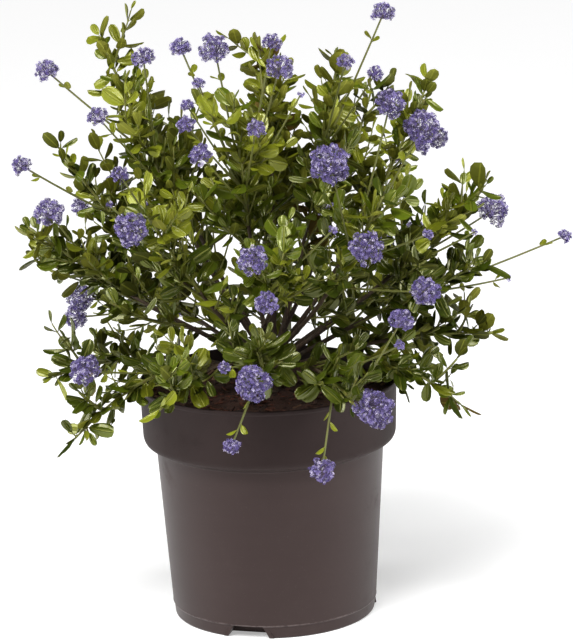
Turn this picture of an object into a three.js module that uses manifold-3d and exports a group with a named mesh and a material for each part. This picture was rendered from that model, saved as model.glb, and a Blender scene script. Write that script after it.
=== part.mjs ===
// California lilac: a flowering shrub in its nursery pot. Millimetres, +Z up, origin at the centre of
// the pot's flat underside. Bearings are degrees from +X towards +Y; -Y is the front.
import * as THREE from 'three';
import { mergeVertices } from 'three/addons/utils/BufferGeometryUtils.js';
import { ConvexGeometry } from 'three/addons/geometries/ConvexGeometry.js';
import Module from 'manifold-3d';

const wasm = await Module();
wasm.setup();

// ---- driving dimensions ----
const clearance = 0.3;
const pot = { height: 177, rimTop: 95, rimFoot: 93, rimDepth: 41, shoulderDepth: 7, shoulderRound: 2.2,
  bodyTop: 83.8, bodyFoot: 75.2, foot: 74, footLine: 9.4, footStep: 0.5, wall: 1.8, floor: 2.2, bevel: 0.8,
  lip: 0.6, sides: 32 };
const drain = { count: 3, bearing: 254, height: 9.4, depth: 15, widthTop: 22, widthFoot: 33, wall: 2.3,
  slotWidth: 9, slotDepth: 5 };
const soil = { top: 167, edgeTop: 165, middle: 15.5, ledge: 54, ledgeHeight: 13, slack: 0.4, sides: 24 };
const trunk = { height: 31, lean: [3, -2], foot: 9.5, waist: 6.6, top: 5.9, flareShare: 0.35, forkShare: 0.9,
  forkSpread: 3.5, sides: 10, steps: 6 };
const limb = { foot: 2, offshootFoot: 1.7, tip: 0.75, boughSides: 4, boughSteps: 3, boughGap: 0.4,
  stemExtra: 0.25, stemSides: 3, stemStep: 34 };
const twig = { spacing: 31, length: 72, tipShare: 0.15, vary: 0.5, lean: 52, lift: 0.3, stray: 30, foot: 0.9,
  tip: 0.75, run: 0.9, turnUp: 0.2, cuts: [1, 0.75, 0.55], seed: 101 };
const leaf = { length: 38, width: 19, keel: 1.4, spacing: 21.5, smallest: 0.8, vary: 0.35, tipShare: 0.6,
  lean: 50, tipLean: 8, lift: 0.3, stray: 30, turn: 1.8, sink: 0.8, apart: 14.8, stemFrom: 0.12,
  twigFrom: 0.3, tipAt: 0.985, seed: 601 };
const bloom = { flatness: 0.82, stalk: 0.7, stalkSag: -2, reachBack: 16, fullSize: 24, sides: 6, rings: 4,
  rearCount: 14, rearFoot: 190, rearRise: 165, rearBearing: 90, rearSpread: 62, rearSize: 22, seed: 77 };
const crown = { radius: 165, middle: 250, halfHeight: 210, frontShare: 0.88, rimClear: 2.5 };
const space = { margin: 0.9, limbGap: 0.5, samples: 4, stalkSamples: 6, axisSteps: 7 };
const golden = Math.PI * (3 - Math.sqrt(5));
const up = new THREE.Vector3(0, 0, 1);

// Each mass: bearing, reach and height of its tip, how far its limb bows up from the straight line, the
// share of the limb that is bare bough, and what carries it, with how far along that it springs. A limb
// at share 1 of the trunk rises from the fork.
const masses = {
  top_left: [180, 112, 434, -40, 0.32, 'trunk', 1],
  top_centre: [40, 12, 420, 0, 0.36, 'trunk', 1],
  top_right: [8, 58, 410, -30, 0.34, 'trunk', 1],
  top_back: [84, 76, 396, -36, 0.32, 'trunk', 1],
  top_front: [257, 80, 396, -34, 0.34, 'trunk', 1],
  upper_right: [12, 126, 388, -40, 0.3, 'trunk', 0.82],
  upper_back_right: [48, 126, 372, -34, 0.3, 'trunk', 0.9],
  upper_back: [88, 140, 330, -18, 0.32, 'top_back', 0.5],
  upper_back_left: [136, 128, 382, -34, 0.3, 'trunk', 0.86],
  upper_left: [173, 148, 350, -34, 0.3, 'top_left', 0.5],
  upper_front_left: [232, 128, 322, -26, 0.32, 'trunk', 0.8],
  upper_front: [276, 130, 300, -12, 0.34, 'top_front', 0.5],
  upper_front_right: [312, 126, 330, -26, 0.32, 'trunk', 0.85],
  side_right: [350, 164, 326, -20, 0.28, 'trunk', 0.6],
  side_left: [184, 170, 298, -16, 0.28, 'trunk', 0.68],
  far_right: [352, 158, 262, 6, 0.27, 'trunk', 0.42],
  far_left: [174, 166, 268, 8, 0.27, 'trunk', 0.5],
  low_right: [6, 166, 200, 20, 0.27, 'trunk', 0.34],
  low_back_right: [44, 164, 218, 18, 0.27, 'trunk', 0.55],
  low_back: [86, 164, 200, 26, 0.27, 'trunk', 0.45],
  low_back_left: [132, 164, 222, 18, 0.27, 'trunk', 0.38],
  low_left: [190, 158, 190, 30, 0.27, 'trunk', 0.3],
  low_front_left: [236, 138, 186, 34, 0.27, 'trunk', 0.5],
  low_front_right: [298, 140, 180, 36, 0.27, 'trunk', 0.45],
  low_front: [268, 130, 214, 18, 0.28, 'trunk', 0.62],
  droop_right: [342, 146, 164, 54, 0.26, 'trunk', 0.26],
  droop_left: [206, 156, 154, 58, 0.26, 'trunk', 0.26],
};

// Front blossom heads: across, height and diameter. Each stands on the crown's front.
const frontBlooms = [[-152, 410, 19], [-173, 341, 17], [-81, 424, 18], [-114, 384, 18], [-99, 352, 14],
  [-54, 433, 18], [-30, 434, 24], [10, 437, 16], [15, 422, 22], [61, 421, 14], [91, 444, 19],
  [82, 411, 13], [92, 392, 24], [114, 372, 29], [-51, 387, 16], [-42, 369, 18], [-3, 385, 16],
  [48, 360, 31], [-92, 316, 28], [-153, 313, 25], [-8, 299, 24], [71, 301, 27], [1, 269, 19],
  [112, 264, 24], [94, 246, 22], [167, 297, 28], [219, 276, 12], [-130, 209, 24], [-11, 212, 29],
  [74, 184, 31], [-27, 163, 14], [36, 140, 20]];

// ---- seeded numbers and curves ----
function seededRandom(seed) {
  let state = seed >>> 0;
  return () => {
    state = (state + 0x6d2b79f5) >>> 0;
    let mixed = Math.imul(state ^ (state >>> 15), 1 | state);
    mixed = (mixed + Math.imul(mixed ^ (mixed >>> 7), 61 | mixed)) ^ mixed;
    return ((mixed ^ (mixed >>> 14)) >>> 0) / 4294967296;
  };
}

function atBearing(bearing, radius, height) {
  const angle = THREE.MathUtils.degToRad(bearing);
  return new THREE.Vector3(radius * Math.cos(angle), radius * Math.sin(angle), height);
}

function bowedCurve(from, to, lift) {
  const control = from.clone().lerp(to, 0.5).addScaledVector(up, lift);
  return new THREE.QuadraticBezierCurve3(from, control, to);
}

function partOfCurve(curve, start, end) {
  // a quadratic curve's stretch from start to end is a quadratic curve too
  const [from, to] = [curve.getPoint(start), curve.getPoint(end)];
  const control = from.clone().addScaledVector(tangentOf(curve, start), (end - start) / 2);
  return new THREE.QuadraticBezierCurve3(from, control, to);
}

function chordOf(curve) {
  return curve.v0.distanceTo(curve.v2);
}

function tangentOf(curve, share) {
  const [first, second, third] = [curve.v0, curve.v1, curve.v2];
  const early = second.clone().sub(first).multiplyScalar(2 * (1 - share));
  return early.addScaledVector(third.clone().sub(second), 2 * share);
}

// Every curve here lies in an upright plane: side is level across it, under points below it.
function frameAt(curve, share) {
  const chord = curve.v2.clone().sub(curve.v0);
  const side = new THREE.Vector3(-chord.y, chord.x, 0);
  if (side.lengthSq() < 1e-6) {
    side.set(0, 1, 0);
  }
  const ahead = tangentOf(curve, share).normalize();
  side.normalize();
  return { ahead, side, under: new THREE.Vector3().crossVectors(side, ahead) };
}

// ---- solids ----
function toSolid(geometry) {
  const plain = geometry.index ? geometry.toNonIndexed() : geometry.clone();
  plain.deleteAttribute('normal');
  plain.deleteAttribute('uv');
  const merged = mergeVertices(plain, 1e-4);
  const vertProperties = new Float32Array(merged.attributes.position.array);
  const triVerts = new Uint32Array(merged.index.array);
  return new wasm.Manifold(new wasm.Mesh({ numProp: 3, vertProperties, triVerts }));
}

function toGeometry(solid) {
  const mesh = solid.getMesh();
  const geometry = new THREE.BufferGeometry();
  geometry.setAttribute('position', new THREE.BufferAttribute(mesh.vertProperties, 3));
  geometry.setIndex(new THREE.BufferAttribute(mesh.triVerts, 1));
  geometry.computeVertexNormals();
  return geometry;
}

// A prism of so many sides bent along a curve, its radius worked out at each share of the length. Its
// first corner points under the curve.
function bentPrism(curve, radiusAt, sides, steps) {
  const corners = Array.from({ length: sides }, (_, i) => (2 * Math.PI * i) / sides);
  const section = new THREE.Shape(corners.map((angle) => new THREE.Vector2(Math.cos(angle), Math.sin(angle))));
  const geometry = new THREE.ExtrudeGeometry(section, { depth: 1, steps, bevelEnabled: false });
  const position = geometry.attributes.position;
  for (let i = 0; i < position.count; i += 1) {
    const share = Math.round(position.getZ(i) * steps) / steps;
    const { side, under } = frameAt(curve, share);
    const point = curve.getPoint(share);
    point.addScaledVector(under, radiusAt(share) * position.getX(i));
    point.addScaledVector(side, radiusAt(share) * position.getY(i));
    position.setXYZ(i, point.x, point.y, point.z);
  }
  return geometry;
}

function taper(foot, tip) {
  return (share) => foot + (tip - foot) * share;
}

// The largest single body of a solid: loose scraps and sealed hollows are left out.
function mainBody(solid) {
  return solid.decompose().reduce((best, body) => (body.volume() > best.volume() ? body : best));
}

// ---- pot and soil ----
function potProfile() {
  const shoulderTop = pot.height - pot.rimDepth;
  const shoulderFoot = shoulderTop - pot.shoulderDepth;
  const round = pot.shoulderRound;
  const outside = [[pot.foot - pot.bevel, 0], [pot.foot, pot.bevel],
    [pot.bodyFoot - pot.footStep, pot.footLine], [pot.bodyFoot, pot.footLine + pot.footStep],
    [pot.bodyTop, shoulderFoot - 1], [pot.bodyTop + round, shoulderFoot + round - pot.footStep],
    [pot.rimFoot - round, shoulderTop - round], [pot.rimFoot, shoulderTop],
    [pot.rimTop, pot.height - 2 * pot.lip], [pot.rimTop - pot.lip, pot.height]];
  const inside = [[pot.rimTop - pot.wall, pot.height], [pot.rimFoot - pot.wall, shoulderTop + pot.lip],
    [pot.bodyTop - pot.wall, shoulderFoot + pot.lip], [pot.bodyFoot - pot.wall, pot.floor + pot.wall],
    [pot.bodyFoot - 2 * pot.wall, pot.floor]];
  return [[0, 0], ...outside, ...inside, [0, pot.floor]].map(([x, y]) => new THREE.Vector2(x, y));
}

function turned(profile, sides) {
  return new THREE.LatheGeometry(profile, sides).rotateX(Math.PI / 2);
}

// A drain's block: a trapezium seen from outside, run inwards from the wall.
function drainBlock(widthFoot, widthTop, foot, top, inner, outer, bearing) {
  const outline = new THREE.Shape([[-widthFoot / 2, foot], [widthFoot / 2, foot], [widthTop / 2, top],
    [-widthTop / 2, top]].map(([x, y]) => new THREE.Vector2(x, y)));
  const block = new THREE.ExtrudeGeometry(outline, { depth: outer - inner, bevelEnabled: false });
  block.rotateX(Math.PI / 2).translate(0, outer, 0);
  return block.rotateZ(THREE.MathUtils.degToRad(bearing - 90));
}

// The pot with its drains: each is a pocket pressed up into the floor, open outwards and at a slot.
function makePot() {
  let body = toSolid(turned(potProfile(), pot.sides));
  const inner = pot.foot - drain.depth;
  const middle = (inner + pot.foot) / 2;
  for (let i = 0; i < drain.count; i += 1) {
    const bearing = drain.bearing + (360 / drain.count) * i;
    const pocket = drainBlock(drain.widthFoot + 2 * drain.wall, drain.widthTop + 2 * drain.wall, pot.bevel,
      drain.height + pot.wall, inner - pot.wall, pot.foot - 1, bearing);
    const opening = drainBlock(drain.widthFoot, drain.widthTop, -1, drain.height, inner, pot.rimTop, bearing);
    const slot = drainBlock(drain.slotWidth, drain.slotWidth, drain.height - 1, drain.height + 2 * pot.wall,
      middle - drain.slotDepth / 2, middle + drain.slotDepth / 2, bearing);
    body = body.add(toSolid(pocket)).subtract(toSolid(opening)).subtract(toSolid(slot));
  }
  return toGeometry(mainBody(body));
}

function makeSoil() {
  const gap = clearance + pot.wall + soil.slack;
  const shoulderTop = pot.height - pot.rimDepth;
  const shoulderFoot = shoulderTop - pot.shoulderDepth;
  const rimShare = (soil.edgeTop - shoulderTop) / pot.rimDepth;
  const edge = pot.rimFoot + (pot.rimTop - pot.rimFoot) * rimShare - gap;
  const floor = pot.floor + clearance;
  const ledgeShare = soil.ledgeHeight / shoulderFoot;
  const ledgeEdge = pot.bodyFoot + (pot.bodyTop - pot.bodyFoot) * ledgeShare - gap - soil.slack;
  const profile = [[0, floor], [soil.ledge, floor], [soil.ledge, soil.ledgeHeight],
    [ledgeEdge, soil.ledgeHeight], [pot.bodyTop - gap, shoulderFoot + soil.slack],
    [pot.rimFoot - gap, shoulderTop + 2 * pot.lip], [edge, soil.edgeTop], [soil.middle, soil.top], [0, soil.top]];
  return turned(profile.map(([x, y]) => new THREE.Vector2(x, y)), soil.sides);
}

// ---- limbs ----
const trunkFoot = new THREE.Vector3(0, 0, soil.top + clearance);
const trunkTop = new THREE.Vector3(trunk.lean[0], trunk.lean[1], trunkFoot.z + trunk.height);
const trunkCurve = new THREE.QuadraticBezierCurve3(trunkFoot,
  new THREE.Vector3(0, 0, trunkFoot.z + trunk.height / 2), trunkTop);

function trunkRadius(share) {
  const flare = Math.max(0, 1 - share / trunk.flareShare);
  return trunk.waist + (trunk.top - trunk.waist) * share + (trunk.foot - trunk.waist) * flare * flare;
}

function trunkSolid(grow) {
  const top = trunkTop.clone().addScaledVector(tangentOf(trunkCurve, 1).normalize(), grow);
  const curve = new THREE.QuadraticBezierCurve3(trunkFoot, trunkCurve.v1, top);
  return toSolid(bentPrism(curve, (share) => trunkRadius(share) + grow, trunk.sides, trunk.steps));
}

// Where each limb runs: from the trunk or another bough out to its mass's tip.
function limbCurves() {
  const curves = {};
  for (const [name, [bearing, reach, height, lift, , carrier, share]] of Object.entries(masses)) {
    const tip = atBearing(bearing, reach, height);
    let start = trunkCurve.getPoint(share);
    if (carrier === 'trunk' && share === 1) {
      start = trunkCurve.getPoint(trunk.forkShare).add(atBearing(bearing, trunk.forkSpread, 0));
    } else if (carrier !== 'trunk') {
      start = curves[carrier].getPoint(share * masses[carrier][4]);
    }
    curves[name] = bowedCurve(start, tip, lift);
  }
  return curves;
}

const curves = limbCurves();
const names = Object.keys(masses);

function limbFoot(name) {
  return masses[name][5] === 'trunk' ? limb.foot : limb.offshootFoot;
}

function limbRadius(name) {
  return taper(limbFoot(name), limb.tip);
}

function boughCurve(name) {
  return partOfCurve(curves[name], 0, masses[name][4]);
}

function stemCurve(name) {
  const curve = curves[name];
  const gap = clearance / chordOf(curve);
  return partOfCurve(curve, masses[name][4] + gap, 1);
}

function boughSolid(name, grow) {
  const share = masses[name][4];
  const radius = limbRadius(name);
  const shape = bentPrism(boughCurve(name), (at) => radius(at * share) + grow, limb.boughSides,
    limb.boughSteps);
  return toSolid(shape);
}

// The boughs, each cut clear of the trunk and of the boughs made before it.
function makeBoughs() {
  const made = {};
  const grown = {};
  const swollenTrunk = trunkSolid(clearance);
  for (const name of names) {
    let body = boughSolid(name, 0).subtract(swollenTrunk);
    for (const other of Object.keys(made)) {
      body = body.subtract(grown[other]);
    }
    made[name] = mainBody(body);
    grown[name] = boughSolid(name, limb.boughGap);
  }
  return made;
}

// ---- the space of each mass ----
const axisLines = Object.fromEntries(names.map((name) => [name, stemCurve(name).getPoints(space.axisSteps)]));
const limbLines = Object.fromEntries(names.map((name) => [name, boughCurve(name).getPoints(limb.boughSteps)]));

function distanceToLine(point, line) {
  let best = Infinity;
  const [along, away] = [new THREE.Vector3(), new THREE.Vector3()];
  for (let i = 1; i < line.length; i += 1) {
    along.subVectors(line[i], line[i - 1]);
    away.subVectors(point, line[i - 1]);
    const share = THREE.MathUtils.clamp(away.dot(along) / along.lengthSq(), 0, 1);
    best = Math.min(best, away.addScaledVector(along, -share).length());
  }
  return best;
}

function nearestMass(point) {
  const distance = (name) => distanceToLine(point, axisLines[name]);
  return names.reduce((best, name) => (distance(name) < distance(best) ? name : best));
}

function clearOfPot(point) {
  const radius = Math.hypot(point.x, point.y);
  return radius > pot.rimTop + crown.rimClear || point.z > pot.height + crown.rimClear;
}

function inSpace(name, points) {
  return points.every((point) => {
    const own = distanceToLine(point, axisLines[name]);
    const others = names.every((other) => other === name
      || distanceToLine(point, axisLines[other]) > own + space.margin);
    const limbs = names.every((other) => distanceToLine(point, limbLines[other])
      > limbFoot(other) + space.limbGap);
    return others && limbs && clearOfPot(point);
  });
}

// ---- twigs, leaves and blossom ----
// What is tried for a leaf in turn: its size as a share, and how many faces further round it springs.
const leafTries = [1, 0.75].flatMap((cut) => [0, 1, 2].map((face) => [cut, face]));

// A leaf of unit length and width: a blade with its widest place past the middle, keeled underneath.
const leafShape = new ConvexGeometry([[0, 0, 0], [0.6, 0.5, 0.12], [0.6, -0.5, 0.12], [0.38, 0, -0.88],
  [1, 0, 0]].map((corner) => new THREE.Vector3(...corner)));

function leafCorners(place) {
  const spots = [[0.3, 0.25], [0.3, -0.25], [0.6, 0.5], [0.6, 0], [0.6, -0.5], [0.8, 0.25], [0.8, -0.25],
    [1, 0]];
  return spots.map(([x, y]) => new THREE.Vector3(x, y, 0).applyMatrix4(place));
}

function leafPlace(root, direction, length, turn) {
  const ahead = direction.clone().normalize();
  const side = new THREE.Vector3().crossVectors(up, ahead).normalize();
  side.applyAxisAngle(ahead, turn);
  const face = new THREE.Vector3().crossVectors(ahead, side);
  const width = (leaf.width * length) / leaf.length;
  const place = new THREE.Matrix4().makeBasis(ahead.clone().multiplyScalar(length),
    side.multiplyScalar(width), face.multiplyScalar(leaf.keel));
  return place.setPosition(root.clone().addScaledVector(ahead, -leaf.sink));
}

// A direction that leans out through one of a three-sided stem's faces, and lifts.
function leaningOut(curve, share, face, stray, lean, lift) {
  const { ahead, side, under } = frameAt(curve, share);
  const around = THREE.MathUtils.degToRad(60 + 120 * face + stray);
  const angle = THREE.MathUtils.degToRad(lean);
  return ahead.multiplyScalar(Math.cos(angle))
    .addScaledVector(side, Math.sin(angle) * Math.sin(around))
    .addScaledVector(under, Math.sin(angle) * Math.cos(around))
    .addScaledVector(up, lift).normalize();
}

// The side twigs of a mass: each springs from the next face of its stem and turns up.
function twigCurves(name, random) {
  const stem = stemCurve(name);
  const count = Math.floor(chordOf(stem) / twig.spacing);
  const found = [];
  for (let i = 0; i < count; i += 1) {
    const share = (i + 0.4) / count;
    const direction = leaningOut(stem, share, 2 * i, (random() - 0.5) * twig.stray, twig.lean, twig.lift);
    const fullLength = twig.length * (1 - (1 - twig.tipShare) * share);
    const length = fullLength * (1 + twig.vary * (random() - 0.5));
    const start = stem.getPoint(share);
    for (const cut of twig.cuts) {
      const end = start.clone().addScaledVector(direction, length * cut * twig.run);
      const curve = bowedCurve(start, end.addScaledVector(up, length * cut * twig.turnUp), 0);
      if (inSpace(name, curve.getPoints(space.samples).slice(1))) {
        found.push(curve);
        break;
      }
    }
  }
  return found;
}

// Leaves along a stem or twig, each from the next face, with one at its tip. Middles already taken by
// other leaves of the mass are kept clear of.
function leavesAlong(name, curve, firstShare, random, taken) {
  const found = [];
  const count = Math.max(1, Math.round((chordOf(curve) * (1 - firstShare)) / leaf.spacing));
  for (let i = 0; i <= count; i += 1) {
    const atTip = i === count;
    const share = atTip ? leaf.tipAt : firstShare + ((1 - firstShare) * i) / count;
    const length = leaf.length * (leaf.smallest + leaf.vary * random()) * (atTip ? leaf.tipShare : 1);
    const stray = (random() - 0.5) * leaf.stray;
    const turn = (random() - 0.5) * leaf.turn;
    for (const [cut, face] of leafTries) {
      const way = leaningOut(curve, share, i + face, stray, atTip ? leaf.tipLean : leaf.lean, leaf.lift);
      const place = leafPlace(curve.getPoint(share), way, length * cut, turn);
      const middle = new THREE.Vector3(0.6, 0, 0).applyMatrix4(place);
      const free = taken.every((other) => other.distanceTo(middle) > leaf.apart * cut);
      if (free && inSpace(name, leafCorners(place))) {
        taken.push(middle);
        found.push(leafShape.clone().applyMatrix4(place));
        break;
      }
    }
  }
  return found;
}

function crownDepth(across, height) {
  const lift = (height - crown.middle) / crown.halfHeight;
  const squared = crown.radius ** 2 * (1 - lift * lift) - across * across;
  return crown.frontShare * Math.sqrt(Math.max(0, squared));
}

// Every head's centre and diameter: the front ones as listed, the rear ones spread over the crown's back.
function allBlooms() {
  const heads = frontBlooms.map(([x, z, size]) => [new THREE.Vector3(x, -crownDepth(x, z), z), size]);
  const random = seededRandom(bloom.seed);
  for (let i = 0; i < bloom.rearCount; i += 1) {
    const height = bloom.rearFoot + ((i + 0.5) / bloom.rearCount) * bloom.rearRise;
    const bearing = bloom.rearBearing + bloom.rearSpread * Math.sin(i * golden * 3 + random());
    const lift = (height - crown.middle) / crown.halfHeight;
    const radius = crown.radius * Math.sqrt(1 - lift * lift);
    heads.push([atBearing(bearing, radius, height), bloom.rearSize * (0.7 + 0.5 * random())]);
  }
  return heads;
}

function bloomHead(centre, size) {
  const detail = size >= bloom.fullSize ? new THREE.SphereGeometry(size / 2, bloom.sides, bloom.rings)
    : new THREE.IcosahedronGeometry(size / 2, 0);
  return detail.rotateX(Math.PI / 2).scale(1, 1, bloom.flatness).translate(centre.x, centre.y, centre.z);
}

// A stalk from the stem, springing as far back along it as the mass's space allows, up to the head.
function stalkCurve(name, centre) {
  const line = stemCurve(name).getPoints(40);
  const away = (i) => line[i].distanceTo(centre);
  const nearest = line.reduce((best, _, i) => (away(i) < away(best) ? i : best), 0);
  for (let back = bloom.reachBack; back > 0; back -= 2) {
    const curve = bowedCurve(line[Math.max(1, nearest - back)], centre, bloom.stalkSag);
    if (inSpace(name, curve.getPoints(space.stalkSamples).slice(2))) {
      return curve;
    }
  }
  return bowedCurve(line[Math.max(1, nearest)], centre, bloom.stalkSag);
}

function massStem(name) {
  const stem = stemCurve(name);
  const radius = limbRadius(name);
  const share = masses[name][4];
  const steps = Math.ceil(chordOf(stem) / limb.stemStep);
  return bentPrism(stem, (at) => radius(share + at * (1 - share)) + limb.stemExtra, limb.stemSides, steps);
}

// One mass: its stem with twigs, leaves and blossom, joined into one body.
function massSolid(name, blooms, number) {
  const leafRandom = seededRandom(leaf.seed + number);
  const shapes = [massStem(name)];
  const taken = [];
  for (const curve of twigCurves(name, seededRandom(twig.seed + number))) {
    shapes.push(bentPrism(curve, taper(twig.foot, twig.tip), 3, 1));
    shapes.push(...leavesAlong(name, curve, leaf.twigFrom, leafRandom, taken));
  }
  shapes.push(...leavesAlong(name, stemCurve(name), leaf.stemFrom, leafRandom, taken));
  for (const [centre, size] of blooms) {
    shapes.push(bentPrism(stalkCurve(name, centre), () => bloom.stalk, 3, 1), bloomHead(centre, size));
  }
  return mainBody(shapes.map(toSolid).reduce((sum, solid) => sum.add(solid)));
}

// ---- the whole plant ----
const finishes = {
  plastic: { color: 0x5b4f4c, roughness: 0.6, metalness: 0 },
  compost: { color: 0x3d231a, roughness: 0.95, metalness: 0 },
  bark: { color: 0x4a3727, roughness: 0.85, metalness: 0 },
  foliage: { color: 0x4b5f1e, roughness: 0.5, metalness: 0 },
};
const plant = new THREE.Group();

function addPiece(name, geometry, finish) {
  const mesh = new THREE.Mesh(geometry, new THREE.MeshStandardMaterial(finishes[finish]));
  mesh.name = name;
  plant.add(mesh);
}

addPiece('pot', makePot(), 'plastic');
addPiece('soil', makeSoil(), 'compost');
addPiece('trunk', toGeometry(trunkSolid(0)), 'bark');
for (const [name, solid] of Object.entries(makeBoughs())) {
  addPiece(`bough_${name}`, toGeometry(solid), 'bark');
}
const heads = allBlooms();
names.forEach((name, number) => {
  const own = heads.filter(([centre]) => nearestMass(centre) === name);
  addPiece(`foliage_${name}`, toGeometry(massSolid(name, own, number)), 'foliage');
});

export default plant;
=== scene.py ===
import math
import bpy
import numpy as np
from mathutils import Matrix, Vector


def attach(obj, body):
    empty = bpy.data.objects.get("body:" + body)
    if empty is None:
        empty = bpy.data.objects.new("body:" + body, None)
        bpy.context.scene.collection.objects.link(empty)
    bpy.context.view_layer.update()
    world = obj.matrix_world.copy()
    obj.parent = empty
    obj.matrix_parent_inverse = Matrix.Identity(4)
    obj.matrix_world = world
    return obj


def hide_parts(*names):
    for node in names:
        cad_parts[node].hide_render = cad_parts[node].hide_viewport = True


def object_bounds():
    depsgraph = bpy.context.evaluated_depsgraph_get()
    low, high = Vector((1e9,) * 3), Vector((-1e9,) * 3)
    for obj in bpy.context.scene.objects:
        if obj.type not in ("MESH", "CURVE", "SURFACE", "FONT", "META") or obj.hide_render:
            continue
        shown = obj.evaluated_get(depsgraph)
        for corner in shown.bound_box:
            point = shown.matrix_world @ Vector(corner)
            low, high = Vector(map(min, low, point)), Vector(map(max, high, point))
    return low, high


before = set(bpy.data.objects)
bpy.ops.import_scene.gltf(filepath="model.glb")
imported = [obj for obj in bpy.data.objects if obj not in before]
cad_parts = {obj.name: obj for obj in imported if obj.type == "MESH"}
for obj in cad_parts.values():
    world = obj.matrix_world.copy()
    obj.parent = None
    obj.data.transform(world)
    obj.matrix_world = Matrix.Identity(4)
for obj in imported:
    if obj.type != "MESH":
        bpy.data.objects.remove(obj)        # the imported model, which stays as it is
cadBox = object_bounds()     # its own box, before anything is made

# The looks of a potted california lilac. Sizes are in millimetres until a mesh is made, +Z is up, the
# front is -Y, and bearings are degrees from +X towards +Y.
up = np.array([0.0, 0.0, 1.0])
goldenTurn = 137.508    # degrees from one floret or small leaf to the next
white = (1, 1, 1, 1)
print("frame loaded:", len(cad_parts), "nodes")


def unit(vectors):
    return vectors / np.linalg.norm(vectors, axis=-1, keepdims=True)


def linked(name, data):
    made = bpy.data.objects.new(name, data)
    bpy.context.scene.collection.objects.link(made)
    return made


# Camera, lights and floor

cameraSettings = {"place": (0, -2.731, 0.914), "pitch": -14.263, "yaw": 0.312, "roll": 1.759,
                  "lens": 216.84, "sensor": 36, "clipEnd": 60}
lightSettings = {
    "sun": {"energy": 2.5, "angle": 26, "tilt": (32, -18)},
    "world": 0.05,
    "boxes": {  # place, aim, width, height, power
        "boxLeft": ((-1.5, -0.3, 0.6), (0, 0, 0.2), 0.5, 1.3, 19),
        "boxRight": ((1.5, -0.35, 0.6), (0, 0, 0.2), 0.5, 1.3, 19),
        "boxTop": ((0.2, -0.9, 1.7), (0, 0, 0.3), 0.9, 0.35, 15),
    },
}
floorSettings = {"size": 14, "colour": (0.8, 0.8, 0.8), "roughness": 0.85, "glow": 0.38}


def stand(made, place, side, top, back):
    turn = Matrix(np.column_stack([side, top, back]).tolist())
    made.matrix_world = Matrix.Translation(place) @ turn.to_4x4()


def makeCamera():
    data = bpy.data.cameras.new("camera")
    data.lens, data.sensor_width = cameraSettings["lens"], cameraSettings["sensor"]
    data.clip_end = cameraSettings["clipEnd"]
    pitch, yaw, roll = (math.radians(cameraSettings[key]) for key in ("pitch", "yaw", "roll"))
    level = np.array([math.cos(yaw), -math.sin(yaw), 0])
    ahead = np.array([math.sin(yaw), math.cos(yaw), 0]) * math.cos(pitch) + up * math.sin(pitch)
    above = np.cross(level, ahead)
    made = linked("camera", data)
    stand(made, cameraSettings["place"], level * math.cos(roll) - above * math.sin(roll),
          level * math.sin(roll) + above * math.cos(roll), -ahead)
    bpy.context.scene.camera = made


def makeLights():
    for name, (place, target, width, height, power) in lightSettings["boxes"].items():
        data = bpy.data.lights.new(name, "AREA")
        data.shape = "RECTANGLE"
        data.size, data.size_y, data.energy = width, height, power
        back = unit(np.array(place, float) - np.array(target, float))
        side = unit(np.cross(up, back))
        stand(linked(name, data), place, side, np.cross(back, side), back)
    sun = lightSettings["sun"]
    data = bpy.data.lights.new("sun", "SUN")
    data.energy, data.angle = sun["energy"], math.radians(sun["angle"])
    linked("sun", data).rotation_euler = (*np.radians(sun["tilt"]), 0)
    world = bpy.data.worlds.new("studio")
    bpy.context.scene.world = world
    world.use_nodes = True
    nodes, links = world.node_tree.nodes, world.node_tree.links
    path, either = nodes.new("ShaderNodeLightPath"), nodes.new("ShaderNodeMixShader")
    # one background lights the plant, and the other is what the camera sees
    glow, seen = nodes["Background"], nodes.new("ShaderNodeBackground")
    for made, strength in ((glow, lightSettings["world"]), (seen, 1)):
        made.inputs["Color"].default_value = white
        made.inputs["Strength"].default_value = strength
    for i, output in enumerate((path.outputs["Is Camera Ray"], glow.outputs[0], seen.outputs[0])):
        links.new(output, either.inputs[i])
    links.new(either.outputs[0], nodes["World Output"].inputs["Surface"])


makeCamera()
makeLights()
bpy.context.scene.view_settings.view_transform = "Standard"


# Materials

class Wire:
    # a node's output that sums can be written with
    def __init__(self, paint, socket):
        self.paint, self.socket = paint, socket

    def maths(self, operation, first, second):
        return self.paint.node("Math", {"operation": operation}, {0: first, 1: second})

    def __add__(self, other):
        return self.maths("ADD", self, other)

    def __sub__(self, other):
        return self.maths("SUBTRACT", self, other)

    def __rsub__(self, other):
        return self.maths("SUBTRACT", other, self)

    def __mul__(self, other):
        return self.maths("MULTIPLY", self, other)

    __radd__, __rmul__ = __add__, __mul__


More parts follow.
